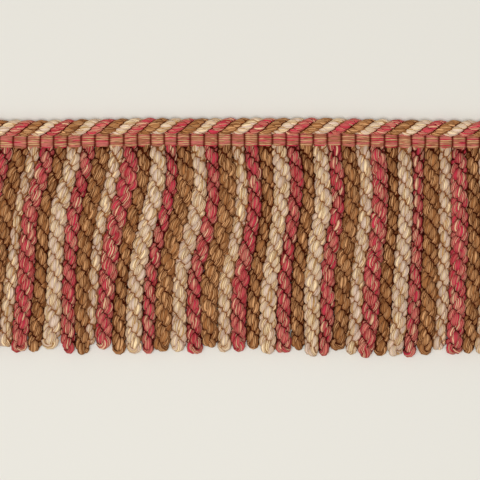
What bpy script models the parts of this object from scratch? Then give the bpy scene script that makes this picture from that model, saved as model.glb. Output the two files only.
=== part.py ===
"""Cut length of bullion fringe, laid flat on its back.

X runs along the heading, +Y points to the twisted cord on its upper edge, and
+Z points away from the surface the fringe lies on. The origin is the middle of
the object's outline, at the level of that surface.
"""

import bisect
import math

import bmesh
import bpy

# One step of the strand table: a third of a millimetre.
STEP = 0.001 / 3

# Spacing and overall sizes, in metres.
PITCH = 13.63 * STEP
PIECE_GAP = 0.0003
CORD_RADIUS = 0.0026
CORD_LEAD = 0.01333
HEADING_HEIGHT = 0.0045
HEADING_THICKNESS = 0.0042
STRIP_WIDTH = 0.0012
STRIP_THICKNESS = 0.0036
STRAND_WIDTH = 0.0049
STRAND_HEIGHT = 0.0047

# How the twisted cord's outline follows its plies, as shares of its radius:
# crest, the two shoulders and the valley beside it, four points to a ply.
PLIES = 3
PLY_OUTLINE = (1.0, 0.94, 0.78, 0.94)

# Cross-section of the heading: share of its height across, share of its thickness up.
HEADING_OUTLINE = (
    (0.0, 0.0), (1.0, 0.0), (1.0, 0.70), (0.86, 0.93), (0.5, 1.0), (0.14, 0.93), (0.0, 0.70),
)
# Across one rib: place as a share of the pitch from its middle, share of full thickness.
RIB_SECTIONS = ((-0.5, 0.84), (-0.40, 0.95), (0.0, 1.0), (0.40, 0.95))

# Strands: one row each, from the left end, in steps of a third of a millimetre.
# shift: the root's place beside its even spacing. sway: how far the strand has
# drifted sideways from its root at each depth of SWAY_DEPTHS, the last one being
# its tip. drop: depth of the tip below the heading. lift: how far it stands
# above the strands that lie lowest.
SWAY_DEPTHS = (0, 31, 61, 91, 131, 171)
COLUMNS = ("shift", "sway", "drop", "lift")
STRANDS = (
    (0.0, (-6, -13, -17, -22, -26, -28), 204, 2),
    (-0.2, (-6, -13, -17, -22, -26, -28), 201, 0),
    (-0.3, (-6.5, -13.5, -17, -21, -25, -28), 203, 0),
    (0.1, (-7, -13, -17.5, -24, -28, -30), 204, 3),
    (0.0, (-7.5, -16, -19, -23, -27, -27.5), 199.5, 0),
    (-0.7, (-7, -16, -19, -21, -25.5, -28.5), 204.5, 3),
    (-0.8, (-5.5, -15.5, -17, -19.5, -23.5, -27), 204.5, 0),
    (-0.5, (-6.5, -15, -18, -19.5, -21, -26), 200.5, 3),
    (-0.6, (-6, -12.5, -17, -19, -20, -17.5), 206.5, 1),
    (-0.2, (-5, -12.5, -16, -18, -19.5, -18.5), 206.5, 2),
    (0.7, (-5, -12, -19, -24, -26, -28), 197, 0),
    (1.5, (-3, -11.5, -19, -23, -27, -28.5), 201.5, 3),
    (0.4, (0, -8, -15.5, -21.5, -24.5, -25), 206.5, 0),
    (0.8, (0, -6.5, -14, -22, -23, -24), 205.5, 3),
    (0.1, (1, -4, -12, -20, -22, -22), 205.5, 0),
    (-1.0, (2.5, -3, -10.5, -17.5, -19, -23.5), 203.5, 3),
    (-1.1, (4, 0.5, -7.5, -16.5, -18, -19), 204.5, 2),
    (-0.3, (2, 0.5, -7, -17, -17.5, -15.5), 206.5, 1),
    (-0.9, (3, 2, -3.5, -14, -15, -14), 199.5, 3),
    (-1.0, (4.5, 3.5, -2, -12, -13.5, -13.5), 204.5, 0),
    (-1.6, (3, 3.5, -2, -9.5, -12.5, -12), 203.5, 2),
    (-1.3, (2.5, 1.5, -2.5, -9.5, -12.5, -11.5), 201.5, 0),
    (-0.4, (2.5, 0.5, -3.5, -9.5, -11.5, -12), 206.5, 3),
    (-1.0, (4.5, 1.5, -3.5, -8, -10, -9), 205.5, 1),
    (-1.2, (3, 1, -3.5, -8, -8, -7), 201.5, 0),
    (-0.8, (1.5, 3, -3, -7.5, -8.5, -8), 208.5, 3),
    (-0.4, (3, 3, -2.5, -6.5, -8, -11), 208.5, 1),
    (-0.1, (3.5, 3, 0, -5.5, -6.5, -12), 202.5, 2),
    (0.8, (2.5, 1.5, -0.5, -6, -7.5, -13), 206.5, 1),
    (1.7, (3.5, 3, -0.5, -6, -7.5, -12.5), 209.5, 3),
    (2.1, (2, 2, -0.5, -4.5, -6.5, -13), 207.5, 0),
    (1.4, (0.5, 1.5, -1, -4, -6, -10), 208.5, 3),
    (1.3, (-0.5, -0.5, -1, -3.5, -5, -10.5), 209.5, 0),
    (1.7, (-1, -1.5, -1.5, -3, -4.5, -7.5), 206.5, 3),
    (1.5, (-1.5, -1.5, -1.5, -3, -4.5, -9), 202.5, 0),
    (1.4, (0, 1, 0.5, -2, -3.5, -5.5), 206.5, 3),
    (1.3, (0, 1, 1.5, 1, -1.5, -5), 205.5, 1),
    (1.2, (-1, 0.5, 1, 1, -2, -5.5), 206.5, 2),
    (1.0, (-1, 0.5, 1, 1, -2, -6), 203.5, 0),
    (0.8, (0, 0, 0, 0, -2, -5), 205.5, 2),
)

# Cross-sections of a strand, in steps: depth of the first, distance between two,
# and the least distance from the last to the tip. A strand's plies take turns to
# stand out, one on the left and one on the right, a section apart.
FIRST_SECTION = 12
SECTION_SPACING = 9.5
TIP_LENGTH = 10
# A strand's rounded end: distance above the tip, share of width, lowest and
# highest point as shares of the strand's height.
TIP_SECTIONS = ((7, 1.0, 0.0, 1.0), (2.5, 0.84, 0.04, 0.88), (0, 0.5, 0.16, 0.66))
# Sideways room between neighbours, the width across the top of a strand as a
# Sideways room between neighbours, the width across the top of a strand as a
# share of its foot, and how far in the side stays whose ply lies under.
NEIGHBOUR_GAP = 1.2 * STEP
RIDGE_SHARE = 0.56
UNDER_SHARE = 0.84
# The strip's faces that carry strands point this far along Y, or further.
ROOT_FACING = -0.9

LENGTH = len(STRANDS) * PITCH
LONGEST_DROP = max(row[COLUMNS.index("drop")] for row in STRANDS) * STEP
OVERALL = 2 * CORD_RADIUS + PIECE_GAP + HEADING_HEIGHT + LONGEST_DROP
CORD_Y = OVERALL / 2 - CORD_RADIUS
HEADING_TOP = CORD_Y - CORD_RADIUS - PIECE_GAP
HEADING_FOOT = HEADING_TOP - HEADING_HEIGHT

COLOURS = {
    "rose_yarn": (0.42, 0.055, 0.065),
    "tan_yarn": (0.36, 0.19, 0.09),
    "cream_yarn": (0.66, 0.50, 0.33),
    "heading_warp": (0.42, 0.16, 0.11),
}
YARN_ORDER = ("tan_yarn", "cream_yarn", "rose_yarn")


def clear_scene():
    for thing in list(bpy.data.objects):
        bpy.data.objects.remove(thing, do_unlink=True)


def yarn_material(name):
    material = bpy.data.materials.new(name)
    material.use_nodes = True
    shader = material.node_tree.nodes["Principled BSDF"]
    shader.inputs["Base Color"].default_value = (*COLOURS[name], 1.0)
    shader.inputs["Roughness"].default_value = 0.85
    shader.inputs["Metallic"].default_value = 0.0
    return material


def strand_value(number, column):
    return STRANDS[number][COLUMNS.index(column)]


def root_x(number):
    """Distance of a strand's root from the heading's left end."""
    return (number + 0.5) * PITCH + strand_value(number, "shift") * STEP


def strand_x(number, depth):
    """Distance of a strand's centre line from the left end, at a depth in steps."""
    depths = (*SWAY_DEPTHS, strand_value(number, "drop"))
    sways = (0.0, *strand_value(number, "sway"))
    slopes = [0.0]
    for place in range(1, len(depths) - 1):
        rise = sways[place + 1] - sways[place - 1]
        slopes.append(rise / (depths[place + 1] - depths[place - 1]))
    slopes.append((sways[-1] - sways[-2]) / (depths[-1] - depths[-2]))
    place = min(max(bisect.bisect_right(depths, depth) - 1, 0), len(depths) - 2)
    span = depths[place + 1] - depths[place]
    t = min(max((depth - depths[place]) / span, 0.0), 1.0)
    sway = (
        sways[place] * (1 + 2 * t) * (1 - t) ** 2
        + sways[place + 1] * t * t * (3 - 2 * t)
        + slopes[place] * span * t * (1 - t) ** 2
        - slopes[place + 1] * span * t * t * (1 - t)
    )
    return root_x(number) + sway * STEP


def strand_edges(number, depth):
    """Left and right side of the space a strand has between its neighbours."""
    middle = strand_x(number, depth)
    left = middle - STRAND_WIDTH / 2
    right = middle + STRAND_WIDTH / 2
    if number > 0:
        left = max(left, (strand_x(number - 1, depth) + middle + NEIGHBOUR_GAP) / 2)
    if number < len(STRANDS) - 1:
        right = min(right, (strand_x(number + 1, depth) + middle - NEIGHBOUR_GAP) / 2)
    return left, right


def finish_object(name, mesh_data, materials):
    """Turns a bmesh into a named object with outward faces."""
    bmesh.ops.recalc_face_normals(mesh_data, faces=mesh_data.faces[:])
    mesh = bpy.data.meshes.new(name)
    mesh_data.to_mesh(mesh)
    mesh_data.free()
    for material in materials:
        mesh.materials.append(material)
    piece = bpy.data.objects.new(name, mesh)
    bpy.context.scene.collection.objects.link(piece)
    return piece


def make_top_cord(materials):
    """Three-ply twisted cord: a lobed outline swept along X while it turns."""
    sides = PLIES * len(PLY_OUTLINE)
    turns = LENGTH / CORD_LEAD
    steps = round(turns * sides)
    cord = bmesh.new()
    ring = bmesh.ops.create_circle(cord, segments=sides, radius=CORD_RADIUS)["verts"]
    for place, vert in enumerate(ring):
        vert.co *= PLY_OUTLINE[place % len(PLY_OUTLINE)]
        vert.co = (0.0, CORD_Y + vert.co.x, CORD_RADIUS + vert.co.y)
    bmesh.ops.spin(
        cord,
        geom=cord.verts[:] + cord.edges[:],
        cent=(0.0, CORD_Y, CORD_RADIUS),
        axis=(1.0, 0.0, 0.0),
        dvec=(LENGTH / steps, 0.0, 0.0),
        angle=-2 * math.pi * turns,
        steps=steps,
    )
    bmesh.ops.holes_fill(cord, edges=[edge for edge in cord.edges if edge.is_boundary])
    return finish_object("top_cord", cord, [materials["cream_yarn"]])


def make_heading(materials):
    """Woven band, flat on its back, with one rounded rib over each strand."""
    sections = [
        (number * PITCH + (0.5 + place) * PITCH, share)
        for number in range(len(STRANDS))
        for place, share in RIB_SECTIONS
    ]
    sections.append((LENGTH, RIB_SECTIONS[0][1]))
    band = bmesh.new()
    outline = [
        band.verts.new((0.0, HEADING_FOOT + across * HEADING_HEIGHT, up * HEADING_THICKNESS))
        for across, up in HEADING_OUTLINE
    ]
    for place, vert in enumerate(outline):
        band.edges.new((vert, outline[(place + 1) % len(outline)]))
    edges = band.edges[:]
    at, share = sections[0]
    bmesh.ops.scale(band, vec=(1.0, 1.0, share), verts=outline)
    for next_at, next_share in sections[1:]:
        extruded = bmesh.ops.extrude_edge_only(band, edges=edges)["geom"]
        edges = [item for item in extruded if isinstance(item, bmesh.types.BMEdge)]
        verts = [item for item in extruded if isinstance(item, bmesh.types.BMVert)]
        edges = [edge for edge in edges if all(vert in verts for vert in edge.verts)]
        bmesh.ops.translate(band, vec=(next_at - at, 0.0, 0.0), verts=verts)
        bmesh.ops.scale(band, vec=(1.0, 1.0, next_share / share), verts=verts)
        at, share = next_at, next_share
    bmesh.ops.holes_fill(band, edges=[edge for edge in band.edges if edge.is_boundary])
    return finish_object("heading", band, [materials["heading_warp"]])


def place_section(face, number, depth, width_share, low_share, high_share, over=0):
    """Moves the four corners of a strand's end face to its cross-section.

    over is the side whose ply stands out there: -1 left, 1 right, 0 both alike.
    """
    left, right = strand_edges(number, depth)
    middle = (left + right) / 2
    half_width = width_share * (right - left) / 2
    height = STRAND_HEIGHT + strand_value(number, "lift") * STEP
    centre = face.calc_center_median()
    for vert in face.verts:
        side = -1 if vert.co.x < centre.x else 1
        on_top = vert.co.z > centre.z
        relief = UNDER_SHARE if side == -over else 1.0
        reach = half_width * relief * (RIDGE_SHARE if on_top else 1.0)
        level = height * (high_share * relief if on_top else low_share)
        vert.co = (middle + side * reach, HEADING_FOOT - depth * STEP, level)


def make_bullions(materials):
    """Row of hanging strands that stand apart and share a narrow strip at their roots."""
    strip_top = HEADING_FOOT - PIECE_GAP
    bullions = bmesh.new()
    bmesh.ops.create_cube(bullions, size=1.0)
    bmesh.ops.scale(bullions, vec=(LENGTH, STRIP_WIDTH, STRIP_THICKNESS), verts=bullions.verts[:])
    bmesh.ops.translate(
        bullions,
        vec=(LENGTH / 2, strip_top - STRIP_WIDTH / 2, STRIP_THICKNESS / 2),
        verts=bullions.verts[:],
    )
    for number in range(len(STRANDS)):
        for cut in strand_edges(number, 0):
            bmesh.ops.bisect_plane(
                bullions,
                geom=bullions.verts[:] + bullions.edges[:] + bullions.faces[:],
                plane_co=(cut, 0.0, 0.0),
                plane_no=(1.0, 0.0, 0.0),
            )
    for number in range(len(STRANDS)):
        bullions.faces.ensure_lookup_table()
        roots = [face for face in bullions.faces if face.normal.y < ROOT_FACING]
        face = min(roots, key=lambda item: abs(item.calc_center_median().x - root_x(number)))
        drop = strand_value(number, "drop")
        sections = []
        depth = FIRST_SECTION
        over = 1
        while depth < drop - TIP_LENGTH:
            sections.append((depth, 1.0, 0.0, 1.0, over))
            depth += SECTION_SPACING
            over = -over
        sections += [(drop - above, *shares) for above, *shares in TIP_SECTIONS]
        for section in sections:
            face = bmesh.ops.extrude_discrete_faces(bullions, faces=[face])["faces"][0]
            place_section(face, number, *section)
            for side in {wall for edge in face.edges for wall in edge.link_faces}:
                side.material_index = number % len(YARN_ORDER)
    return finish_object("bullions", bullions, [materials[name] for name in YARN_ORDER])


def centre_on_origin(pieces):
    """Moves the pieces together along X so that their outline is centred."""
    ends = [vert.co.x for piece in pieces for vert in piece.data.vertices]
    middle = (min(ends) + max(ends)) / 2
    for piece in pieces:
        piece.location.x = -middle


def main():
    clear_scene()
    materials = {name: yarn_material(name) for name in COLOURS}
    centre_on_origin([make_top_cord(materials), make_heading(materials), make_bullions(materials)])


main()
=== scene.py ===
"""Looks of a cut length of bullion fringe, laid flat on its back and seen from above.

X runs along the heading, +Y points to the twisted cord on its upper edge, and
+Z points away from the floor. All sizes are in metres.
"""

import math
import random

import bmesh
import bpy
import numpy as np
from bpy.props import FloatProperty, FloatVectorProperty, IntProperty, PointerProperty
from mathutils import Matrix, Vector


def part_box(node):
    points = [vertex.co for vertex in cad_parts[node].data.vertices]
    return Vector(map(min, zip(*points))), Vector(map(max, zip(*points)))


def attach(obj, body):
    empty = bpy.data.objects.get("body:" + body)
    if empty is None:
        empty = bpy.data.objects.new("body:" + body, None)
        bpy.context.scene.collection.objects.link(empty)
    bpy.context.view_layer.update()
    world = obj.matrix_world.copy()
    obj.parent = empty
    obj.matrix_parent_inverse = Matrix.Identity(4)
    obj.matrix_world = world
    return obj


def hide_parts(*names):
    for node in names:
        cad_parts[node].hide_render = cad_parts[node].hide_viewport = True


bl_info = {
    "name": "Bullion Fringe",
    "version": (1, 0, 0),
    "blender": (4, 5, 0),
    "location": "3D View > Sidebar > Fringe",
    "description": "Builds a length of bullion fringe, yarn by yarn",
    "category": "Add Mesh",
}

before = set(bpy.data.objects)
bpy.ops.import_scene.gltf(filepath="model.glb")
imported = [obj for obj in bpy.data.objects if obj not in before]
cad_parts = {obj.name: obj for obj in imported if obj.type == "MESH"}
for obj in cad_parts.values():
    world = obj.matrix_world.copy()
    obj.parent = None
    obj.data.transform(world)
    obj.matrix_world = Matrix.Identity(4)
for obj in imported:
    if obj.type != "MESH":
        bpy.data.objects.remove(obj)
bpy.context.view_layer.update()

# The heading and the cord above it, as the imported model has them.
HEADING_LOW, HEADING_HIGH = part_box("heading")
CORD_LOW, CORD_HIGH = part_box("top_cord")
LEFT_END = HEADING_LOW.x
HEADING_FOOT = HEADING_LOW.y
LENGTH = HEADING_HIGH.x - HEADING_LOW.x

# One step of the strand table: a third of a millimetre.
STEP = 0.001 / 3

# The painted shade that strands lay on each other is reckoned as if they were this much higher, so that
# upper ones stay bright.
BESIDE_RISE = np.array((0.0, 0.0, 0.0005))

# Strands: one row each, from the left end, in steps of a third of a millimetre.
# shift: the root's place beside its even spacing. sway: how far the strand has
# drifted sideways from its root at each depth of SWAY_DEPTHS, the last one being
# its tip. drop: depth of the tip below the heading. lift: how far it stands
# above the strands that lie lowest.
SWAY_DEPTHS = (0, 31, 61, 91, 131, 171)
COLUMNS = ("shift", "sway", "drop", "lift")
STRANDS = (
    (0.0, (-6, -13, -17, -22, -26, -28), 204, 2),
    (-0.2, (-6, -13, -17, -22, -26, -28), 201, 0),
    (-0.3, (-6.5, -13.5, -17, -21, -25, -28), 203, 0),
    (0.1, (-7, -13, -17.5, -24, -28, -30), 204, 3),
    (0.0, (-7.5, -16, -19, -23, -27, -27.5), 199.5, 0),
    (-0.7, (-7, -16, -19, -21, -25.5, -28.5), 204.5, 3),
    (-0.8, (-5.5, -15.5, -17, -19.5, -23.5, -27), 204.5, 0),
    (-0.5, (-6.5, -15, -18, -19.5, -21, -26), 200.5, 3),
    (-0.6, (-6, -12.5, -17, -19, -20, -17.5), 206.5, 1),
    (-0.2, (-5, -12.5, -16, -18, -19.5, -18.5), 206.5, 2),
    (0.7, (-5, -12, -19, -24, -26, -28), 197, 0),
    (1.5, (-3, -11.5, -19, -23, -27, -28.5), 201.5, 3),
    (0.4, (0, -8, -15.5, -21.5, -24.5, -25), 206.5, 0),
    (0.8, (0, -6.5, -14, -22, -23, -24), 205.5, 3),
    (0.1, (1, -4, -12, -20, -22, -22), 205.5, 0),
    (-1.0, (2.5, -3, -10.5, -17.5, -19, -23.5), 203.5, 3),
    (-1.1, (4, 0.5, -7.5, -16.5, -18, -19), 204.5, 2),
    (-0.3, (2, 0.5, -7, -17, -17.5, -15.5), 206.5, 1),
    (-0.9, (3, 2, -3.5, -14, -15, -14), 199.5, 3),
    (-1.0, (4.5, 3.5, -2, -12, -13.5, -13.5), 204.5, 0),
    (-1.6, (3, 3.5, -2, -9.5, -12.5, -12), 203.5, 2),
    (-1.3, (2.5, 1.5, -2.5, -9.5, -12.5, -11.5), 201.5, 0),
    (-0.4, (2.5, 0.5, -3.5, -9.5, -11.5, -12), 206.5, 3),
    (-1.0, (4.5, 1.5, -3.5, -8, -10, -9), 205.5, 1),
    (-1.2, (3, 1, -3.5, -8, -8, -7), 201.5, 0),
    (-0.8, (1.5, 3, -3, -7.5, -8.5, -8), 208.5, 3),
    (-0.4, (3, 3, -2.5, -6.5, -8, -11), 208.5, 1),
    (-0.1, (3.5, 3, 0, -5.5, -6.5, -12), 202.5, 2),
    (0.8, (2.5, 1.5, -0.5, -6, -7.5, -13), 206.5, 1),
    (1.7, (3.5, 3, -0.5, -6, -7.5, -12.5), 209.5, 3),
    (2.1, (2, 2, -0.5, -4.5, -6.5, -13), 207.5, 0),
    (1.4, (0.5, 1.5, -1, -4, -6, -10), 208.5, 3),
    (1.3, (-0.5, -0.5, -1, -3.5, -5, -10.5), 209.5, 0),
    (1.7, (-1, -1.5, -1.5, -3, -4.5, -7.5), 206.5, 3),
    (1.5, (-1.5, -1.5, -1.5, -3, -4.5, -9), 202.5, 0),
    (1.4, (0, 1, 0.5, -2, -3.5, -5.5), 206.5, 3),
    (1.3, (0, 1, 1.5, 1, -1.5, -5), 205.5, 1),
    (1.2, (-1, 0.5, 1, 1, -2, -5.5), 206.5, 2),
    (1.0, (-1, 0.5, 1, 1, -2, -6), 203.5, 0),
    (0.8, (0, 0, 0, 0, -2, -5), 205.5, 2),
)
PITCH = LENGTH / len(STRANDS)

# Yarn colours by strand, from the left end on, and by ply of the cord.
YARN_ORDER = ("tan", "cream", "rose")
CORD_ORDER = ("cream", "rose", "tan")

# Threads of each yarn, as places and colours on a ramp: dark ones up to 0.5, light ones above.
YARN_STOPS = {
    "rose": (
        (0.0, "crimson"), (0.12, "red"), (0.2, "red"), (0.3, "crimson"), (0.48, "crimson"),
        (0.52, "coral"), (0.62, "coral"), (0.67, "crimson"), (0.72, "coral"),
        (0.78, "straw"), (0.89, "straw"), (0.96, "coral"),
    ),
    "cream": (
        (0.0, "blush"), (0.12, "sand"), (0.24, "sand"), (0.34, "blush"), (0.48, "blush"),
        (0.52, "ivory"), (0.72, "ivory"), (0.8, "blush"), (0.86, "blush"), (0.95, "ivory"),
    ),
    "tan": (
        (0.0, "nut"), (0.1, "bark"), (0.27, "bark"), (0.36, "nut"), (0.48, "nut"),
        (0.52, "fawn"), (0.72, "fawn"), (0.8, "nut"), (0.86, "nut"), (0.95, "fawn"),
    ),
}
# Tints of the painted shade in the crevices between yarns, and between the heading's ribs.
YARN_SHADE_TINTS = {
    "rose": (0.19, 0.062, 0.05, 1.0),
    "cream": (0.48, 0.27, 0.145, 1.0),
    "tan": (0.21, 0.062, 0.022, 1.0),
}
HEADING_SHADE_TINT = (0.32, 0.14, 0.11, 1.0)
# Threads of the heading: even rows up to 0.5, odd ones above.
HEADING_STOPS = (
    (0.0, "crimson"), (0.12, "crimson"), (0.16, "brick"), (0.30, "brick"), (0.34, "pink"),
    (0.49, "pink"), (0.51, "pink"), (0.60, "pink"), (0.65, "brick"), (0.70, "brick"),
    (0.74, "gold"), (0.88, "gold"), (0.94, "crimson"),
)
# Colours of the ground under the heading's threads.
GROUND_DARK = (0.16, 0.03, 0.022, 1.0)
GROUND_LIGHT = (0.28, 0.06, 0.045, 1.0)

# The heading's bow: place along it and rise towards the cord, both in steps.
BOW_PLACES = (0, 87, 127, 177, 247, 327, 367, 407, 447, 487, 545)
BOW_RISES = (-0.4, 0.0, 1.1, 1.7, 1.8, 2.1, 1.8, 0.8, 0.0, -0.4, -0.5)
# Depth in steps at which the strands no longer follow the bow.
BOW_REACH = 120.0

# How far the cord lies down on the heading's edge.
CORD_DROP = 0.0008
# Place along the cord, in steps, where a cream ply is in front, and where the twist slackens.
CORD_CREST = 32.8
CORD_SLACKENS = 313.8

# Rings along one yarn of a strand and of a cord's ply, and along a thread over one rib.
STRAND_RINGS = 340
CORD_RINGS = 600
RIB_RINGS = 9
# How far the points round a yarn crowd towards its outside, where it shows.
CROWDING = 0.3
# Points round a yarn and round a thread of the heading.
YARN_SIDES = 10
THREAD_SIDES = 8

# Share of a yarn's strip of the pattern map that is left bare on each side.
STRIP_MARGIN = 0.04
PATTERN_MAP = "OFBake"
# Attribute that holds how clear a place is of the yarns around it: 1 where they meet. The materials paint
# shade where it is low.
CLEARANCE = "clearance"
# Clearance past which more makes no difference.
MOST_CLEAR = 3.0
# A yarn isn't in its own way within one part in this many of its length.
OWN_PARTS = 30

# A yarn's section: how square its sides are, and how much fuller it is on its inner half.
SIDE_POWER = 0.75
INNER_FULLNESS = 0.2

# Ranges of a random wave's share and of its stretch.
WAVE_SHARES = (0.6, 1.0)
WAVE_STRETCHES = (0.8, 1.2)
# Lengths of the waves in which a ply's turns and its yarns' fullness drift.
TURN_WAVES = (0.009, 0.021, 0.05)
SWELL_WAVES = (0.006, 0.013, 0.03)
# How much more a ply's turns drift than its fullness.
TURN_DRIFT = 3.0
# A direction that no ply follows, from which its two across directions start.
FRAME_START = np.array((1.0, 0.3, 0.2))

# Random draws: one row of numbers for each seed, the cord's after the strands'.
SEED_STEP = 1000
CORD_SEEDS = 100

# How strands change on their way down: depth in steps, share of width, share of height.
PRESS_DEPTHS = (0, 8, 22, 140, 200, 400)
PRESS_WIDTHS = (0.96, 0.98, 1.0, 0.97, 0.92, 0.90)
PRESS_HEIGHTS = (0.62, 0.80, 0.92, 0.92, 0.92, 0.92)
# Least and most share of the usual width that a strand takes between its neighbours.
LEAST_ROOM = 0.92
MOST_ROOM = 1.16
# Height below which a yarn flattens on the floor.
SOLE = 0.0002
# How far up into the heading a strand's yarns start, in steps.
ROOT_START = -3.0
# Fullness of the lowest strands, how much each step of lift adds, and the depth of full lift.
LOW_FULLNESS = 0.94
LIFT_FULLNESS = 0.04
LIFT_DEPTH = 20.0
# Range of a strand's lead, how far its twist is on from the last strand's, and its stray.
LEAD_SHARES = (0.985, 1.015)
STRAND_TURN = math.pi / 2
TURN_STRAY = 0.35
# Points along a strand's straight part, round its tip and along the cord, before they are evened.
ROUTE_POINTS = 900
TIP_POINTS = 40
CORD_POINTS = 2000

# Heading: how sharply a thread drops between ribs, how its rows curve down to the edges,
# its thickness across to that upwards, and the waves in which it strays and swells.
RIB_POWER = 2.8
EDGE_POWER = 3
THREAD_BREADTH = 1.15
STRAY_WAVES = (0.0035, 0.006, 0.011)
THREAD_SWELL = 0.16
THREAD_SWELL_WAVES = (0.003, 0.0055, 0.012)
# Threads of the ground to one wave of its pattern.
GROUND_ROWS = 20

# Fibre: its gloss, its least roughness and how far that changes, and its relief.
FIBRE_GLOSS = 0.03
YARN_ROUGHNESS = 0.72
WARP_ROUGHNESS = 0.7
ROUGHNESS_CHANGE = 0.2
GROUND_ROUGHNESS = 0.75
GROUND_CHANGE = 0.1
YARN_RELIEF = {"Strength": 0.8, "Distance": 0.0001}
WARP_RELIEF = {"Strength": 0.6, "Distance": 0.00006}

# Noise of a yarn's threads: lengths along it, in metres, and strengths.
WANDER_LENGTH = 0.007
WANDER_RING = 1.4
WANDER_THREADS = 4.0
TONE_LENGTH = 0.010
TONE_CHANGE = 1.5
FIBRE_LENGTH = 0.0022
FIBRES_TO_THREAD = 4.0
FIBRE_DETAIL = 2.0
FIBRE_CONTRAST = 0.9
# Uneven distances between places in a noise, so that no thread repeats the next.
APART = (7.3, 5.1, 3.7, 9.1, 5.3)
# Ranges of crown, turn and clearance in which a groove's painted shade, a crest, the painted shade towards
# other yarns and the painted dark line where they meet run out.
GROOVE_RANGE = (0.0, 0.7)
CREST_RANGE = (0.45, 0.85)
SHADE_RANGE = (0.85, 1.75)
LINE_RANGE = (0.87, 0.99)
# Painted shade beside a yarn's crest, and what the crest adds to it.
SIDE_SHADE = 0.8
CREST_SHADE = 0.4

# Where a heading thread is on its ramp: the share that it keeps, the share that changes at
# each rib, and a shift in patches, with how many of them go to a rib and to a row.
STEADY = 0.15
CHANGING = 0.35
SHIFT = 0.3
SHIFTS_TO_RIB = 1.6
SHIFTS_TO_ROW = 1.5
FIBRES_TO_RIB = 3.0
FIBRES_TO_ROW = 6.0
# Range of clearance in which the painted shade in the crease between two ribs runs out.
CREASE_RANGE = (0.18, 0.70)

# Stage: each lamp's size, place and colour, the room's colour, the floor and the camera.
KEY_LAMP = (0.6, (-0.08, -0.12, 1.2), (0.99, 0.985, 0.985))
FILL_LAMP = (1.0, (-0.45, -0.55, 1.0), (1.0, 0.985, 0.94))
ROOM_COLOUR = (1.0, 0.985, 0.935, 1.0)
FLOOR_REACH = 1.5
FLOOR_ROUGHNESS = 0.9
CAMERA_X = 0.0025
CAMERA_Y = -0.0006
CAMERA_REACH = 10.0


def strand_value(number, column):
    return STRANDS[number][COLUMNS.index(column)]


def strand_x(number, depths):
    """Places of a strand's centre line along X, at depths given in steps."""
    knots = np.array((*SWAY_DEPTHS, strand_value(number, "drop")))
    sways = np.array((0.0, *strand_value(number, "sway")))
    slopes = np.zeros(len(knots))
    slopes[1:-1] = (sways[2:] - sways[:-2]) / (knots[2:] - knots[:-2])
    slopes[-1] = (sways[-1] - sways[-2]) / (knots[-1] - knots[-2])
    place = np.clip(np.searchsorted(knots, depths, side="right") - 1, 0, len(knots) - 2)
    span = knots[place + 1] - knots[place]
    t = np.clip((depths - knots[place]) / span, 0.0, 1.0)
    sway = (
        sways[place] * (1 + 2 * t) * (1 - t) ** 2
        + sways[place + 1] * t * t * (3 - 2 * t)
        + slopes[place] * span * t * (1 - t) ** 2
        - slopes[place + 1] * span * t * t * (1 - t)
    )
    return root_x(number) + sway * STEP


def root_x(number):
    return LEFT_END + (number + 0.5) * PITCH + strand_value(number, "shift") * STEP


def bow(x):
    """How far the heading bows towards the cord at a place along X."""
    return np.interp((x - LEFT_END) / STEP, BOW_PLACES, BOW_RISES) * STEP


def unit(vectors):
    return vectors / np.linalg.norm(vectors, axis=-1, keepdims=True)


def even_points(points, count):
    """The same route in evenly spaced points, and each one's distance from its start."""
    gaps = np.linalg.norm(np.diff(points, axis=0), axis=1)
    reached = np.concatenate([[0.0], np.cumsum(gaps)])
    at = np.linspace(0.0, reached[-1], count)
    return np.column_stack([np.interp(at, reached, axis) for axis in points.T]), at


def carried_frame(points, side):
    """Two directions across a route, carried along it without a twist of their own."""
    along = unit(np.gradient(points, axis=0))
    across = np.empty_like(points)
    for place, direction in enumerate(along):
        side = unit(side - direction * (side @ direction))
        across[place] = side
    return across, np.cross(along, across)


def drift(rng, size, waves):
    """A smooth random function of distance, about as large as size."""
    parts = []
    for wave in waves:
        share = rng.uniform(*WAVE_SHARES)
        stretched = wave * rng.uniform(*WAVE_STRETCHES)
        parts.append((share, stretched, rng.uniform(0, math.tau)))
    scale = size / math.sqrt(len(parts))

    def value(at):
        return scale * sum(share * np.sin(math.tau * at / wave + phase) for share, wave, phase in parts)

    return value


def twisted_pair(points, at, sizes, phase, rng):
    """The two yarns of a ply, which turn about each other.

    Gives each one's centre line, with its outward and sideways directions, as
    long as the yarn is full there.
    """
    across, over = carried_frame(points, FRAME_START)
    wander = drift(rng, sizes.unevenness * TURN_DRIFT, TURN_WAVES)
    angle = phase + math.tau * at / sizes.yarn_lead + wander(at)
    for turn in (0.0, math.pi):
        swell = 1.0 + drift(rng, sizes.unevenness, SWELL_WAVES)(at)[:, None]
        outward = across * np.cos(angle + turn)[:, None] + over * np.sin(angle + turn)[:, None]
        centre = points + outward * sizes.yarn_reach * swell
        along = unit(np.gradient(centre, axis=0))
        outward = unit(outward - along * (outward * along).sum(1, keepdims=True))
        sideways = np.cross(along, outward)
        yield centre, outward * swell * sizes.yarn_depth, sideways * swell * sizes.yarn_width


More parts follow.
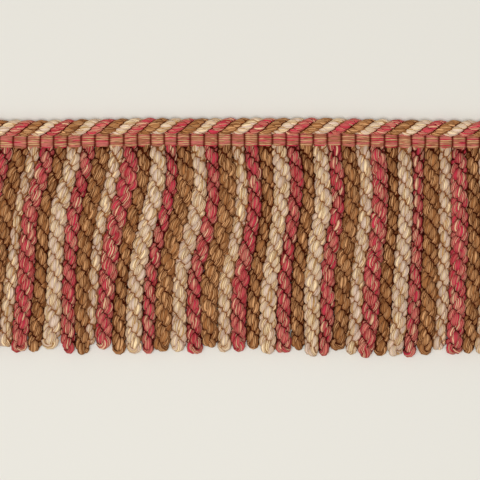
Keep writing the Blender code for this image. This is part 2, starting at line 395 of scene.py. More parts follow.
def straight_tube(rings, sides):
    """A straight round tube along X, a ring at each whole number, with its pattern map."""
    tube = bmesh.new()
    circle = bmesh.ops.create_circle(tube, segments=sides, radius=1.0)["verts"]
    for vert in circle:
        vert.co = (0.0, vert.co.x, vert.co.y)
    bmesh.ops.spin(
        tube,
        geom=tube.verts[:] + tube.edges[:],
        cent=(0.0, 0.0, 0.0),
        axis=(1.0, 0.0, 0.0),
        dvec=(1.0, 0.0, 0.0),
        angle=0.0,
        steps=rings - 1,
    )
    bmesh.ops.holes_fill(tube, edges=[edge for edge in tube.edges if edge.is_boundary])
    bmesh.ops.recalc_face_normals(tube, faces=tube.faces[:])
    layer = tube.loops.layers.uv.new(PATTERN_MAP)
    for face in tube.faces:
        face.smooth = True
        turns = [math.atan2(loop.vert.co.z, loop.vert.co.y) / math.tau + 0.5 for loop in face.loops]
        turns = [turn % 1.0 for turn in turns]
        crosses_seam = len(turns) == 4 and max(turns) - min(turns) > 0.5
        for loop, turn in zip(face.loops, turns):
            turn += crosses_seam and turn < 0.5
            loop[layer].uv = (turn, loop.vert.co.x / (rings - 1))
    mesh = bpy.data.meshes.new("straight_tube")
    tube.to_mesh(mesh)
    tube.free()
    return mesh


def resting(points):
    """The same points, with the lowest ones pressed flat on the floor."""
    height = points[:, 2]
    low = SOLE * np.exp(np.minimum(height / SOLE, 1.0) - 1.0)
    return np.column_stack([points[:, :2], np.where(height < SOLE, low, height)])


class Yarn:
    """One yarn's line, its directions across, the press it lies under and the lines around it."""

    def __init__(self, centre, outward, sideways, press=resting):
        self.centre = centre
        self.outward = outward
        self.sideways = sideways
        self.press = press
        self.line = press(centre)
        self.around = ()
        self.beside = ()


def nearest_squares(points, ring, yarn, lines):
    """Squares of the distances from points of a yarn to the nearest of some lines."""
    nearest = np.full(len(points), np.inf)
    for line in lines:
        squares = (
            (points * points).sum(1)[:, None]
            + (line * line).sum(1)[None]
            - 2.0 * points @ line.T
        )
        if line is yarn.line:
            own = np.abs(ring[:, None] - np.arange(len(line))[None]) < len(line) // OWN_PARTS
            squares[own] = np.inf
        nearest = np.minimum(nearest, squares.min(1))
    return nearest


def clearances(points, ring, yarn, width, beside_width):
    """How clear points of a yarn are of those around it and of those beside its strand, which sets where
    painted shade falls on it.
    """
    around = nearest_squares(points, ring, yarn, yarn.around) / width**2
    beside = nearest_squares(points + BESIDE_RISE, ring, yarn, yarn.beside) / beside_width**2
    return np.sqrt(np.clip(np.minimum(around, beside), 0.0, MOST_CLEAR**2))


def bent_yarns(name, yarns, rings, sides, clearance):
    """One piece of many yarns, each a straight tube bent along its own line.

    A yarn's section is rounder outside and fuller inside, where it is pressed.
    """
    template = straight_tube(rings, sides)
    straight = np.empty(len(template.vertices) * 3)
    template.vertices.foreach_get("co", straight)
    straight = straight.reshape(-1, 3)
    ring = np.rint(straight[:, 0]).astype(int)
    turn = np.arctan2(straight[:, 2:3], straight[:, 1:2])
    turn -= CROWDING * np.sin(turn)
    outer, aside = np.cos(turn), np.sin(turn)
    aside = np.sign(aside) * np.abs(aside) ** SIDE_POWER * (1.0 - INNER_FULLNESS * outer)
    pattern = np.empty(len(template.loops) * 2)
    template.uv_layers[PATTERN_MAP].uv.foreach_get("vector", pattern)
    pattern = pattern.reshape(-1, 2)
    whole = bmesh.new()
    clear = []
    for place, yarn in enumerate(yarns):
        bent = yarn.press(
            yarn.centre[ring] + yarn.outward[ring] * outer + yarn.sideways[ring] * aside
        )
        template.vertices.foreach_set("co", bent.ravel())
        strip = pattern.copy()
        strip[:, 0] = (place + STRIP_MARGIN + (1 - 2 * STRIP_MARGIN) * pattern[:, 0]) / len(yarns)
        template.uv_layers[PATTERN_MAP].uv.foreach_set("vector", strip.ravel())
        whole.from_mesh(template)
        clear.append(clearance(bent, ring, yarn))
    mesh = bpy.data.meshes.new(name)
    whole.to_mesh(mesh)
    whole.free()
    bpy.data.meshes.remove(template)
    # Clearance at each point, from which the materials paint shade between yarns.
    layer = mesh.attributes.new(CLEARANCE, "FLOAT", "POINT")
    layer.data.foreach_set("value", np.concatenate(clear))
    piece = bpy.data.objects.new(name, mesh)
    bpy.context.scene.collection.objects.link(piece)
    return piece


class Shade:
    """One output of a material's nodes. Sums on it add Math nodes."""

    def __init__(self, tree, socket=None):
        self.tree = tree
        self.socket = socket

    def node(self, kind, settings=None, sockets=None, output=0):
        """Adds a node, with its settings first, and then its sockets' values or links."""
        made = self.tree.nodes.new(kind)
        for name, value in (settings or {}).items():
            if name == "stops":
                fill_ramp(made.color_ramp, value)
            else:
                setattr(made, name, value)
        for place, value in (sockets or {}).items():
            if isinstance(value, Shade):
                self.tree.links.new(value.socket, made.inputs[place])
            else:
                made.inputs[place].default_value = value
        return Shade(self.tree, made.outputs[output])

    def math(self, operation, *values):
        return self.node("ShaderNodeMath", {"operation": operation}, dict(enumerate(values)))

    def __add__(self, other):
        return self.math("ADD", self, other)

    def __radd__(self, other):
        return self.math("ADD", other, self)

    def __sub__(self, other):
        return self.math("SUBTRACT", self, other)

    def __rsub__(self, other):
        return self.math("SUBTRACT", other, self)

    def __mul__(self, other):
        return self.math("MULTIPLY", self, other)

    def __rmul__(self, other):
        return self.math("MULTIPLY", other, self)

    def __truediv__(self, other):
        return self.math("DIVIDE", self, other)

    def floor(self):
        return self.math("FLOOR", self)

    def vector(self, x, y, z=0.0):
        return self.node("ShaderNodeCombineXYZ", None, {0: x, 1: y, 2: z})

    def noise(self, x, y, z, detail=0.0):
        """Smooth noise at a place, one patch wide for each whole number."""
        settings = {"noise_dimensions": "3D"}
        sockets = {"Vector": self.vector(x, y, z), "Scale": 1.0, "Detail": detail}
        return self.node("ShaderNodeTexNoise", settings, sockets)

    def between(self, low, high):
        """0 at low, 1 at high, eased in between."""
        settings = {"interpolation_type": "SMOOTHSTEP"}
        return self.node("ShaderNodeMapRange", settings, {0: self, 1: low, 2: high})

    def mix(self, first, second, blend="MIX"):
        """Mixes two colours by this value."""
        settings = {"data_type": "RGBA", "blend_type": blend}
        return self.node("ShaderNodeMix", settings, {0: self, 6: first, 7: second}, output=2)

    def dimmed(self, share):
        """This colour times a share of its brightness."""
        settings = {"operation": "SCALE"}
        return self.node("ShaderNodeVectorMath", settings, {"Vector": self, "Scale": share})

    def feed(self, shader, name):
        self.tree.links.new(self.socket, shader.inputs[name])


def fill_ramp(ramp, stops):
    """Sets a colour ramp's stops from pairs of place and colour."""
    while len(ramp.elements) < len(stops):
        ramp.elements.new(1.0)
    for element, (place, colour) in zip(ramp.elements, stops):
        element.position = place
        element.color = (*colour, 1.0)


def matte_fibre(name):
    """A new material for soft yarn: its start of nodes and its shader."""
    material = bpy.data.materials.new(name)
    material.use_nodes = True
    shader = material.node_tree.nodes["Principled BSDF"]
    shader.inputs["Specular IOR Level"].default_value = FIBRE_GLOSS
    return material, Shade(material.node_tree), shader


def yarn_material(name, threads, shade_tint, sizes, strips, length, yarn):
    """Twisted yarn of single threads that lie side by side.

    threads are pairs of place and colour on a ramp, and strips the number of yarns on the pattern map. The
    tint that follows threads is painted shade, multiplied in where the yarn lies against other yarns.
    """
    material, start, shader = matte_fibre(name)
    place = start.node("ShaderNodeUVMap", {"uv_map": PATTERN_MAP})
    across = start.node("ShaderNodeSeparateXYZ", None, {0: place}) * strips
    along = start.node("ShaderNodeSeparateXYZ", None, {0: place}, output=1) * length
    strip = across.floor()
    turn = (across - strip - STRIP_MARGIN) / (1 - 2 * STRIP_MARGIN)

    # The threads' places wander, by a noise that closes on itself round the yarn.
    round_yarn = (turn + along / yarn.lay) * math.tau
    wander = start.noise(
        round_yarn.math("COSINE", round_yarn) * WANDER_RING,
        round_yarn.math("SINE", round_yarn) * WANDER_RING + strip * APART[0],
        along / WANDER_LENGTH,
    )
    laid = round_yarn * (yarn.threads / math.tau) + wander * WANDER_THREADS
    thread = laid.floor()
    inside = laid - thread
    thread = thread.math("FLOORED_MODULO", thread, yarn.threads)

    # Dark and light threads take turns, and each one's tone changes along the yarn.
    pick = start.node(
        "ShaderNodeTexWhiteNoise", {"noise_dimensions": "2D"}, {"Vector": start.vector(thread, strip)}
    )
    change = start.noise(thread * APART[1], strip * APART[2], along / TONE_LENGTH)
    tone = pick + change * TONE_CHANGE
    picked = (thread.math("FLOORED_MODULO", thread, 2.0) + tone.math("FRACT", tone)) * 0.5
    colour = start.node("ShaderNodeValToRGB", {"stops": threads}, {0: picked})

    fibres = start.noise(
        laid * FIBRES_TO_THREAD, strip * APART[3], along / FIBRE_LENGTH, FIBRE_DETAIL
    )
    crown = inside.math("SINE", inside * math.pi)
    # Painted shade in the groove between two threads: each thread darkens towards its edges.
    share = crown.between(*GROOVE_RANGE) * yarn.groove + (1.0 - yarn.groove)
    # Lightness brightens the colours; the cord's is higher, as painted light for a cord that lies less in
    # shade.
    share = (share + (fibres - 0.5) * FIBRE_CONTRAST) * sizes.lightness
    clear = start.node("ShaderNodeAttribute", {"attribute_name": CLEARANCE}, output=2)
    # Each thread dives under the next yarn at a place of its own, so the edges of the painted crevice shade
    # are uneven.
    uneven_clearance = clear + (pick - 0.5) * sizes.fray + (fibres - 0.5) * sizes.fray * 2.0
    # Painted shade that deepens towards the yarns around it, more on the yarn's crest than beside it.
    outside = 1.0 - turn.math("ABSOLUTE", turn - 0.5) * 2.0
    crest = outside.between(*CREST_RANGE)
    shade = (1.0 - uneven_clearance.between(*SHADE_RANGE)) * (crest * CREST_SHADE + SIDE_SHADE) * sizes.shade
    # A thin dark line of painted shade where the yarn meets another.
    line = 1.0 - uneven_clearance.between(*LINE_RANGE)
    shaded = shade.mix(colour.dimmed(share), shade_tint, "MULTIPLY")
    line.mix(shaded, shade_tint, "MULTIPLY").feed(shader, "Base Color")
    (YARN_ROUGHNESS + fibres * ROUGHNESS_CHANGE).feed(shader, "Roughness")
    relief = {**YARN_RELIEF, "Height": crown + fibres * 0.5}
    start.node("ShaderNodeBump", None, relief).feed(shader, "Normal")
    return material


def warp_material(name, threads, shade_tint, rows, ribs):
    """Threads that run along the heading, each with its own colour on each rib, and painted shade in the
    creases between the ribs.
    """
    material, start, shader = matte_fibre(name)
    place = start.node("ShaderNodeUVMap", {"uv_map": PATTERN_MAP})
    across = start.node("ShaderNodeSeparateXYZ", None, {0: place}) * rows
    along = start.node("ShaderNodeSeparateXYZ", None, {0: place}, output=1) * ribs
    row = across.floor()
    rib = along.floor()
    steady = start.node(
        "ShaderNodeTexWhiteNoise", {"noise_dimensions": "2D"}, {"Vector": start.vector(row, APART[2])}
    )
    changing = start.node(
        "ShaderNodeTexWhiteNoise", {"noise_dimensions": "2D"}, {"Vector": start.vector(row, rib)}
    )
    # A thread's colour shifts across and along it, so the streaks run out to points.
    shift = start.noise(row * APART[4], across * SHIFTS_TO_ROW, along * SHIFTS_TO_RIB) - 0.5
    own = row.math("FLOORED_MODULO", row, 2.0) * 0.5 + steady * STEADY + changing * CHANGING
    picked = own + shift * SHIFT
    colour = start.node("ShaderNodeValToRGB", {"stops": threads}, {0: picked})
    fibres = start.noise(
        across * FIBRES_TO_ROW, row * APART[4], along * FIBRES_TO_RIB, FIBRE_DETAIL
    )
    clear = start.node("ShaderNodeAttribute", {"attribute_name": CLEARANCE}, output=2)
    lit = colour.dimmed((fibres - 0.5) * FIBRE_CONTRAST + 1.0)
    # Painted shade in the crease between two ribs.
    (1.0 - clear.between(*CREASE_RANGE)).mix(lit, shade_tint, "MULTIPLY").feed(shader, "Base Color")
    (WARP_ROUGHNESS + fibres * ROUGHNESS_CHANGE).feed(shader, "Roughness")
    start.node("ShaderNodeBump", None, {**WARP_RELIEF, "Height": fibres}).feed(shader, "Normal")
    return material


def colour_property(name, description, default):
    return FloatVectorProperty(
        name=name, description=description, default=default, subtype="COLOR", size=3, min=0.0, max=1.0
    )


def length_property(name, description, default):
    return FloatProperty(
        name=name, description=description, default=default, min=0.0, unit="LENGTH", precision=5
    )


def share_property(name, description, default):
    return FloatProperty(
        name=name, description=description, default=default, min=0.0, max=1.0, subtype="FACTOR"
    )


class FRINGE_PG_strands(bpy.types.PropertyGroup):
    ply_reach: length_property("Ply reach", "Distance of a ply's middle from the strand's middle", 0.00086)
    ply_lead: length_property("Ply lead", "Length in which the doubled ply turns once", 0.0119)
    yarn_reach: length_property("Yarn reach", "Distance of a yarn's middle from its ply's middle", 0.00088)
    yarn_lead: length_property("Yarn lead", "Length of ply in which its two yarns turn once", 0.0047)
    yarn_depth: length_property("Yarn depth", "Half the yarn's size towards its ply's middle", 0.00098)
    yarn_width: length_property("Yarn width", "Half the yarn's size the other way", 0.00124)
    # Crevice reach, beside reach and shade set the painted shade where a yarn lies against other yarns.
    crevice_reach: length_property(
        "Crevice reach", "How near another yarn's middle a yarn turns dark", 0.00128
    )
    beside_reach: length_property("Beside reach", "The same for the yarns of the next strands", 0.00160)
    shade: share_property("Shade", "How far a yarn darkens on the way to the ones around it", 0.35)
    lightness: FloatProperty(
        name="Lightness", description="Brightness of the yarn's colours", default=1.09
    )
    # Fray makes the edge of that painted shade uneven.
    fray: share_property("Fray", "How unevenly a yarn's threads dive under the next yarn", 0.16)
    unevenness: share_property("Unevenness", "How far the yarn's fullness changes along it", 0.09)
    spread: share_property("Spread", "How much wider a strand gets where one ply lies over the other", 0.16)


class FRINGE_PG_cord(bpy.types.PropertyGroup):
    ply_reach: length_property("Ply reach", "Distance of a ply's middle from the cord's middle", 0.00145)
    ply_lead: length_property("Ply lead", "Length in which the three plies turn once", 0.01338)
    slack_lead: length_property("Slack lead", "The same where the twist is slacker", 0.01425)
    yarn_reach: length_property("Yarn reach", "Distance of a yarn's middle from its ply's middle", 0.00068)
    yarn_lead: length_property("Yarn lead", "Length of ply in which its two yarns turn once", 0.0039)
    yarn_depth: length_property("Yarn depth", "Half the yarn's size towards its ply's middle", 0.00075)
    yarn_width: length_property("Yarn width", "Half the yarn's size the other way", 0.00118)
    # Crevice reach and shade set the painted shade where a yarn lies against other yarns.
    crevice_reach: length_property(
        "Crevice reach", "How near another yarn's middle a yarn turns dark", 0.00119
    )
    shade: share_property("Shade", "How far a yarn darkens on the way to the ones around it", 0.0)
    # The cord's lightness is above the strands': painted light, for the cord lies less in shade.
    lightness: FloatProperty(
        name="Lightness", description="Brightness of the yarn's colours", default=1.27
    )
    # Fray makes the edge of that painted shade uneven.
    fray: share_property("Fray", "How unevenly a yarn's threads dive under the next yarn", 0.10)
    unevenness: share_property("Unevenness", "How far the yarn's fullness changes along it", 0.06)


class FRINGE_PG_heading(bpy.types.PropertyGroup):
    rows: IntProperty(
        name="Rows", description="Threads side by side on the heading's face", default=13, min=2
    )
    dip: length_property("Dip", "How far a thread drops between two ribs", 0.0011)
    pinch: length_property("Pinch", "How far the outer threads draw in between two ribs", 0.0003)
    crown: length_property("Crown", "How far the outer threads lie below the middle ones", 0.0009)
    thread: length_property("Thread", "Half a thread's thickness", 0.00019)
    hem: length_property("Hem", "How far the ground runs on below the cord", 0.001)
    wave: length_property("Wave", "How far a thread strays from its row", 0.00007)


class FRINGE_PG_yarn(bpy.types.PropertyGroup):
    threads: IntProperty(
        name="Threads", description="Single threads round a yarn", default=20, min=1
    )
    lay: length_property("Lay", "Length of yarn in which its threads turn once", 0.0037)
    # The groove's darkness is painted shade between two threads.
    groove: share_property("Groove", "How dark the line between two threads is", 0.42)


class FRINGE_PG_colours(bpy.types.PropertyGroup):
    crimson: colour_property("Crimson", "Main thread of the rose yarn", (0.55, 0.038, 0.070))
    red: colour_property("Red", "Darker thread of the rose yarn", (0.38, 0.032, 0.036))
    coral: colour_property("Coral", "Light thread of the rose yarn", (0.62, 0.205, 0.145))
    straw: colour_property("Straw", "Pale fleck in the rose yarn", (0.74, 0.46, 0.275))
    ivory: colour_property("Ivory", "Light thread of the cream yarn", (0.90, 0.675, 0.405))
    blush: colour_property("Blush", "Cooler thread of the cream yarn", (0.72, 0.54, 0.43))
    sand: colour_property("Sand", "Darker thread of the cream yarn", (0.49, 0.275, 0.115))
    fawn: colour_property("Fawn", "Light thread of the tan yarn", (0.64, 0.335, 0.15))
    nut: colour_property("Nut", "Main thread of the tan yarn", (0.375, 0.152, 0.052))
    bark: colour_property("Bark", "Darker thread of the tan yarn", (0.175, 0.063, 0.020))
    brick: colour_property("Brick", "Main thread of the heading", (0.44, 0.16, 0.088))
    pink: colour_property("Pink", "Bright thread of the heading", (0.62, 0.18, 0.15))
    gold: colour_property("Gold", "Pale thread of the heading", (0.67, 0.40, 0.205))


class FRINGE_PG_stage(bpy.types.PropertyGroup):
    view_width: length_property("View width", "Width of floor that the camera sees", 0.16)
    lens: FloatProperty(
        name="Lens", description="The camera's focal length, in millimetres", default=200.0
    )
    key: FloatProperty(
        name="Key", description="Power of the main lamp, in watts", default=9.0, unit="POWER"
    )
    fill: FloatProperty(
        name="Fill", description="Power of the second lamp, in watts", default=2.0, unit="POWER"
    )
    room: share_property("Room", "Strength of the light from all round", 0.345)
    paper: colour_property("Paper", "The floor's colour", (0.795, 0.777, 0.722))


class FRINGE_PG_settings(bpy.types.PropertyGroup):
    strands: PointerProperty(type=FRINGE_PG_strands)
    cord: PointerProperty(type=FRINGE_PG_cord)
    heading: PointerProperty(type=FRINGE_PG_heading)
    yarn: PointerProperty(type=FRINGE_PG_yarn)
    colours: PointerProperty(type=FRINGE_PG_colours)
    stage: PointerProperty(type=FRINGE_PG_stage)
    seed: IntProperty(name="Seed", description="Start of the small irregularities", default=7)


def ramp_stops(colours, stops):
    """Pairs of place and colour, from pairs of place and colour name."""
    return [(place, tuple(getattr(colours, name))) for place, name in stops]


def yarn_colours(colours, yarn):
    """A yarn's threads as stops of a ramp, and the tint of its crevices."""
    return ramp_stops(colours, YARN_STOPS[yarn]), YARN_SHADE_TINTS[yarn]


def strand_route(number, sizes, phase, lead):
    """Line of a ply that turns about the strand, round its tip and back up."""
    thickness = sizes.yarn_reach + sizes.yarn_depth
    turn_depth = strand_value(number, "drop") * STEP - sizes.ply_reach - thickness
    down = np.linspace(ROOT_START * STEP, turn_depth, ROUTE_POINTS)
    bend = np.linspace(0.0, math.pi, TIP_POINTS)
    depth = np.concatenate([down, turn_depth + sizes.ply_reach * np.sin(bend[1:-1]), down[::-1]])
    reach = sizes.ply_reach * np.concatenate([np.ones(len(down)), np.cos(bend[1:-1]), -np.ones(len(down))])
    angle = phase + math.tau * depth / lead
    return np.column_stack([
        strand_x(number, depth / STEP) + reach * np.sin(angle),
        HEADING_FOOT - depth,
        sizes.ply_reach + thickness + reach * np.cos(angle),
    ])


def room_beside(number, step, depth):
    """Share of the usual room that a strand has, at depths in steps, towards a neighbour."""
    if not 0 <= number + step < len(STRANDS):
        return np.ones_like(depth)
    gap = np.abs(strand_x(number + step, depth) - strand_x(number, depth))
    return np.clip(gap / PITCH, LEAST_ROOM, MOST_ROOM)


def strand_press(number, phase, lead, spread):
    """Flattens a strand towards the floor, most of all at its root, and lifts it."""
    lift = strand_value(number, "lift") * STEP
    rise = bow(root_x(number))
    fullness = LOW_FULLNESS + LIFT_FULLNESS * strand_value(number, "lift")

    def press(points):
        depth = (HEADING_FOOT - points[:, 1]) / STEP
        middle = strand_x(number, depth)
        stacked = np.cos(phase + math.tau * depth * STEP / lead) ** 2
        wide = np.interp(depth, PRESS_DEPTHS, PRESS_WIDTHS) * fullness * (1.0 + spread * stacked)
        to_left = points[:, 0] < middle
        wide *= np.where(to_left, room_beside(number, -1, depth), room_beside(number, 1, depth))
        high = np.interp(depth, PRESS_DEPTHS, PRESS_HEIGHTS)
        raised = lift * np.clip(depth / LIFT_DEPTH, 0.0, 1.0)
        return resting(np.column_stack([
            middle + (points[:, 0] - middle) * wide,
            points[:, 1] + rise * np.clip(1.0 - depth / BOW_REACH, 0.0, 1.0),
            points[:, 2] * high + raised,
        ]))

    return press


def strand_yarns(number, settings):
    """The two yarns of one strand, and the length of its doubled ply."""
    sizes = settings.strands
    rng = random.Random(settings.seed * SEED_STEP + number)
    lead = sizes.ply_lead * rng.uniform(*LEAD_SHARES)
    phase = number * STRAND_TURN + rng.uniform(-TURN_STRAY, TURN_STRAY)
    route, at = even_points(strand_route(number, sizes, phase, lead), STRAND_RINGS)
    press = strand_press(number, phase, lead, sizes.spread)
    pair = twisted_pair(route, at, sizes, rng.uniform(0, math.tau), rng)
    return [Yarn(*parts, press) for parts in pair], at[-1]


def cord_route(settings, share):
    """Line of a ply of the top cord that comes to the front a share of a turn after the first."""
    sizes = settings.cord
    low, high = CORD_LOW, CORD_HIGH
    x = np.linspace(low.x, high.x, CORD_POINTS)
    crest = LEFT_END + CORD_CREST * STEP
    slackens = LEFT_END + CORD_SLACKENS * STEP
    turns = (np.minimum(x, slackens) - crest) / sizes.ply_lead
    turns += np.maximum(x - slackens, 0.0) / sizes.slack_lead
    angle = math.pi / 2 - math.tau * (turns - share)
    return np.column_stack([
        x,
        (low.y + high.y) / 2 + bow(x) - CORD_DROP + sizes.ply_reach * np.cos(angle),
        (low.z + high.z) / 2 + sizes.ply_reach * np.sin(angle),
    ])


def finished(piece, material, node):
    """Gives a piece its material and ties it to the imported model."""
    piece.data.materials.append(material)
    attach(piece, "root")
    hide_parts(node)


class FRINGE_OT_strands(bpy.types.Operator):
    """Hanging strands, in one piece for each colour of yarn"""

    bl_idname = "fringe.strands"
    bl_label = "Bullions"

    def execute(self, context):
        settings = context.scene.fringe
        sizes = settings.strands
        strands = [strand_yarns(number, settings) for number in range(len(STRANDS))]
        for number, (pair, length) in enumerate(strands):
            neighbours = strands[max(number - 1, 0):number] + strands[number + 1:number + 2]
            for yarn in pair:
                yarn.around = [near.line for near in pair]
                yarn.beside = [near.line for others, _ in neighbours for near in others]

        def clearance(points, ring, yarn):
            return clearances(points, ring, yarn, sizes.crevice_reach, sizes.beside_reach)

        for first, colour in enumerate(YARN_ORDER):
            chosen = strands[first::len(YARN_ORDER)]
            yarns = [yarn for pair, _ in chosen for yarn in pair]
            length = max(length for _, length in chosen)
            piece = bent_yarns(f"{colour}_bullions", yarns, STRAND_RINGS, YARN_SIDES, clearance)
            threads, shade_tint = yarn_colours(settings.colours, colour)
            material = yarn_material(
                f"{colour}_yarn", threads, shade_tint, sizes, len(yarns), length, settings.yarn
            )
            finished(piece, material, "bullions")
        return {"FINISHED"}


class FRINGE_OT_cord(bpy.types.Operator):
    """Three-ply cord on the heading's upper edge, in one piece for each colour of yarn"""

    bl_idname = "fringe.cord"
    bl_label = "Top cord"

    def execute(self, context):
        settings = context.scene.fringe
        sizes = settings.cord
        plies = {}
        for place, colour in enumerate(CORD_ORDER):
            rng = random.Random(settings.seed * SEED_STEP + CORD_SEEDS + place)
            route, at = even_points(cord_route(settings, place / len(CORD_ORDER)), CORD_RINGS)
            pair = twisted_pair(route, at, sizes, rng.uniform(0, math.tau), rng)
            plies[colour] = [Yarn(*parts) for parts in pair], at[-1]
        lines = [yarn.line for pair, _ in plies.values() for yarn in pair]

        def clearance(points, ring, yarn):
            yarn.around = [line for line in lines if line is not yarn.line]
            return clearances(points, ring, yarn, sizes.crevice_reach, sizes.crevice_reach)

        for colour, (pair, length) in plies.items():
            piece = bent_yarns(f"{colour}_cord", pair, CORD_RINGS, YARN_SIDES, clearance)
            threads, shade_tint = yarn_colours(settings.colours, colour)
            material = yarn_material(
                f"{colour}_cord_yarn", threads, shade_tint, sizes, len(pair), length, settings.yarn
            )
            finished(piece, material, "top_cord")
        return {"FINISHED"}


class FRINGE_OT_heading(bpy.types.Operator):
    """Ribbed heading: its woven ground, and the threads along its face and back"""

    bl_idname = "fringe.heading"
    bl_label = "Heading"

    def execute(self, context):
        settings = context.scene.fringe
        sizes = settings.heading
        ribs = len(STRANDS)
        middles = np.array([root_x(number) for number in range(ribs)])
        edges = np.concatenate([[HEADING_LOW.x], (middles[1:] + middles[:-1]) / 2, [HEADING_HIGH.x]])
        ring = np.arange(ribs * RIB_RINGS + 1)
        x = np.interp(ring / RIB_RINGS, np.arange(ribs + 1), edges)
        slack = np.abs(2.0 * (ring / RIB_RINGS % 1.0) - 1.0) ** RIB_POWER
        rng = random.Random(settings.seed)
        middle = (HEADING_LOW.y + HEADING_HIGH.y) / 2
        half = (HEADING_HIGH.y - HEADING_LOW.y) / 2 - sizes.thread
        top = HEADING_HIGH.z - sizes.thread
        yarns = []
        for front in (True, False):
            for row in range(sizes.rows):
                side = 2.0 * row / (sizes.rows - 1) - 1.0
                wave = drift(rng, sizes.wave, STRAY_WAVES)
                swell = 1.0 + drift(rng, THREAD_SWELL, THREAD_SWELL_WAVES)(x)[:, None]
                y = middle + side * (half - sizes.pinch * slack) + bow(x) + wave(x)
                if front:
                    z = top - sizes.crown * abs(side) ** EDGE_POWER - sizes.dip * slack
                else:
                    z = sizes.thread * (1.0 + slack)
                centre = np.column_stack([x, y, z + 0.0 * x])
                facing = np.array((0.0, 0.0, 1.0 if front else -1.0))
                outward, sideways = carried_frame(centre, facing)
                outward = outward * sizes.thread * swell
                sideways = sideways * sizes.thread * THREAD_BREADTH * swell
                yarns.append(Yarn(centre, outward, sideways))

        # Painted shade: a heading thread is darkest where it drops between two ribs.
        def clearance(points, ring, yarn):
            return 1.0 - slack[ring]

        piece = bent_yarns("heading_threads", yarns, len(ring), THREAD_SIDES, clearance)
        threads = ramp_stops(settings.colours, HEADING_STOPS)
        material = warp_material("heading_warp", threads, HEADING_SHADE_TINT, len(yarns), ribs)
        finished(piece, material, "heading")
        self.ground(settings, edges)
        return {"FINISHED"}

    def ground(self, settings, edges):
        """The dark woven band that the threads lie on."""
        sizes = settings.heading
        band = bmesh.new()
        bmesh.ops.create_grid(band, x_segments=len(edges) - 1, y_segments=1, size=0.5)
        inset = sizes.thread
        low = (HEADING_LOW.x, HEADING_LOW.y + inset, inset)
        top = HEADING_HIGH.z - sizes.dip - sizes.crown - inset
        high = (HEADING_HIGH.x, CORD_LOW.y + sizes.hem, top)
        faces = bmesh.ops.extrude_face_region(band, geom=band.faces[:])["geom"]
        raised = {item for item in faces if isinstance(item, bmesh.types.BMVert)}
        for vert in band.verts:
            x = low[0] + (vert.co.x + 0.5) * (high[0] - low[0])
            y = low[1] + (vert.co.y + 0.5) * (high[1] - low[1])
            vert.co = (x, y + float(bow(x)), high[2] if vert in raised else low[2])
        bmesh.ops.recalc_face_normals(band, faces=band.faces[:])
        mesh = bpy.data.meshes.new("heading_ground")
        band.to_mesh(mesh)
        band.free()
        piece = bpy.data.objects.new("heading_ground", mesh)
        bpy.context.scene.collection.objects.link(piece)
        material, start, shader = matte_fibre("heading_ground")
        place = start.node("ShaderNodeTexCoord", output=3)
        bands = {"Vector": place, "Scale": 1.0 / (GROUND_ROWS * sizes.thread * 2)}
        bands.update({"Distortion": 1.0, "Detail": 1.0})
        weave = start.node("ShaderNodeTexWave", {"bands_direction": "Y"}, bands, output=1)
        weave.mix(GROUND_DARK, GROUND_LIGHT).feed(shader, "Base Color")
        (GROUND_ROUGHNESS + weave * GROUND_CHANGE).feed(shader, "Roughness")
        finished(piece, material, "heading")


def area_light(name, power, size, place, colour):
    """A large soft lamp that points from its place to the fringe."""
    lamp = bpy.data.lights.new(name, "AREA")
    lamp.shape = "DISK"
    lamp.size = size
    lamp.energy = power
    lamp.color = colour
    holder = bpy.data.objects.new(name, lamp)
    holder.location = place
    holder.rotation_euler = (-Vector(place)).to_track_quat("-Z", "Y").to_euler()
    bpy.context.scene.collection.objects.link(holder)


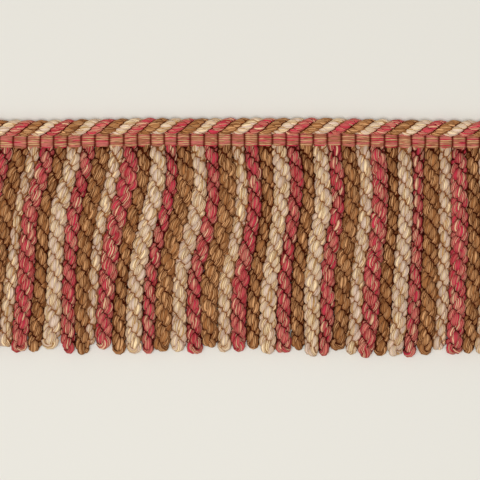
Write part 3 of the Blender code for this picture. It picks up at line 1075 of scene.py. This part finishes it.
class FRINGE_OT_stage(bpy.types.Operator):
    """Pale floor, soft lamps and the camera above the fringe"""

    bl_idname = "fringe.stage"
    bl_label = "Stage"

    def execute(self, context):
        settings = context.scene.fringe.stage
        scene = context.scene
        sheet = bmesh.new()
        bmesh.ops.create_grid(sheet, x_segments=1, y_segments=1, size=FLOOR_REACH)
        mesh = bpy.data.meshes.new("floor")
        sheet.to_mesh(mesh)
        sheet.free()
        floor = bpy.data.objects.new("floor", mesh)
        scene.collection.objects.link(floor)
        material = bpy.data.materials.new("pale_paper")
        material.use_nodes = True
        shader = material.node_tree.nodes["Principled BSDF"]
        shader.inputs["Base Color"].default_value = (*settings.paper, 1.0)
        shader.inputs["Roughness"].default_value = FLOOR_ROUGHNESS
        floor.data.materials.append(material)
        area_light("key", settings.key, *KEY_LAMP)
        area_light("fill", settings.fill, *FILL_LAMP)
        world = bpy.data.worlds.new("room")
        world.use_nodes = True
        light = world.node_tree.nodes["Background"]
        light.inputs["Color"].default_value = ROOM_COLOUR
        light.inputs["Strength"].default_value = settings.room
        scene.world = world
        scene.view_settings.view_transform = "Standard"
        lens = bpy.data.cameras.new("camera")
        lens.lens = settings.lens
        lens.clip_end = CAMERA_REACH
        camera = bpy.data.objects.new("camera", lens)
        height = settings.view_width * settings.lens / lens.sensor_width
        camera.location = (CAMERA_X, CAMERA_Y, height)
        scene.collection.objects.link(camera)
        scene.camera = camera
        return {"FINISHED"}


OPERATORS = (FRINGE_OT_heading, FRINGE_OT_strands, FRINGE_OT_cord, FRINGE_OT_stage)


class FRINGE_PT_panel(bpy.types.Panel):
    """Sizes and colours of the fringe, and the buttons that build it"""

    bl_idname = "FRINGE_PT_panel"
    bl_label = "Bullion Fringe"
    bl_space_type = "VIEW_3D"
    bl_region_type = "UI"
    bl_category = "Fringe"

    def draw(self, context):
        settings = context.scene.fringe
        for operator in OPERATORS:
            self.layout.operator(operator.bl_idname)
        self.layout.prop(settings, "seed")
        groups = (
            settings.strands, settings.cord, settings.heading,
            settings.yarn, settings.colours, settings.stage,
        )
        for group in groups:
            box = self.layout.box()
            for name in group.bl_rna.properties.keys():
                if name not in ("rna_type", "name"):
                    box.prop(group, name)


CLASSES = (
    FRINGE_PG_strands,
    FRINGE_PG_cord,
    FRINGE_PG_heading,
    FRINGE_PG_yarn,
    FRINGE_PG_colours,
    FRINGE_PG_stage,
    FRINGE_PG_settings,
    *OPERATORS,
    FRINGE_PT_panel,
)


def register():
    for item in CLASSES:
        bpy.utils.register_class(item)
    bpy.types.Scene.fringe = PointerProperty(type=FRINGE_PG_settings)


def unregister():
    del bpy.types.Scene.fringe
    for item in reversed(CLASSES):
        bpy.utils.unregister_class(item)


def main():
    register()
    bpy.ops.fringe.heading()
    bpy.ops.fringe.strands()
    bpy.ops.fringe.cord()
    bpy.ops.fringe.stage()


if __name__ == "__main__":
    main()
